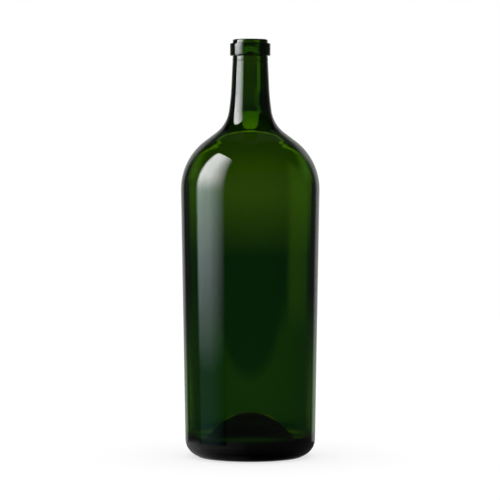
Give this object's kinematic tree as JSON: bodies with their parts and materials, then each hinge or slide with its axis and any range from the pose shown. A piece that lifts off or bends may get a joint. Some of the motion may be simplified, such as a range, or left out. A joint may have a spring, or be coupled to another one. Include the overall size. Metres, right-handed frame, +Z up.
{
  "type": "claret bottle",
  "caption": "Empty magnum wine bottle in dark green glass: tapered body, round shoulder, cork mouth with flat band, and a deep push-up underneath.",
  "frame": {"origin": "centre of the standing plane, under the middle of the bottle", "axes": "+Z up the neck, along the bottle's axis of revolution; X and Y are alike"},
  "size_m": [0.1038, 0.1038, 0.3127],
  "materials": {
    "green_glass": "gloss"
  },
  "bodies": {
    "root": {"bottle": "green_glass"}
  },
  "joints": []
}
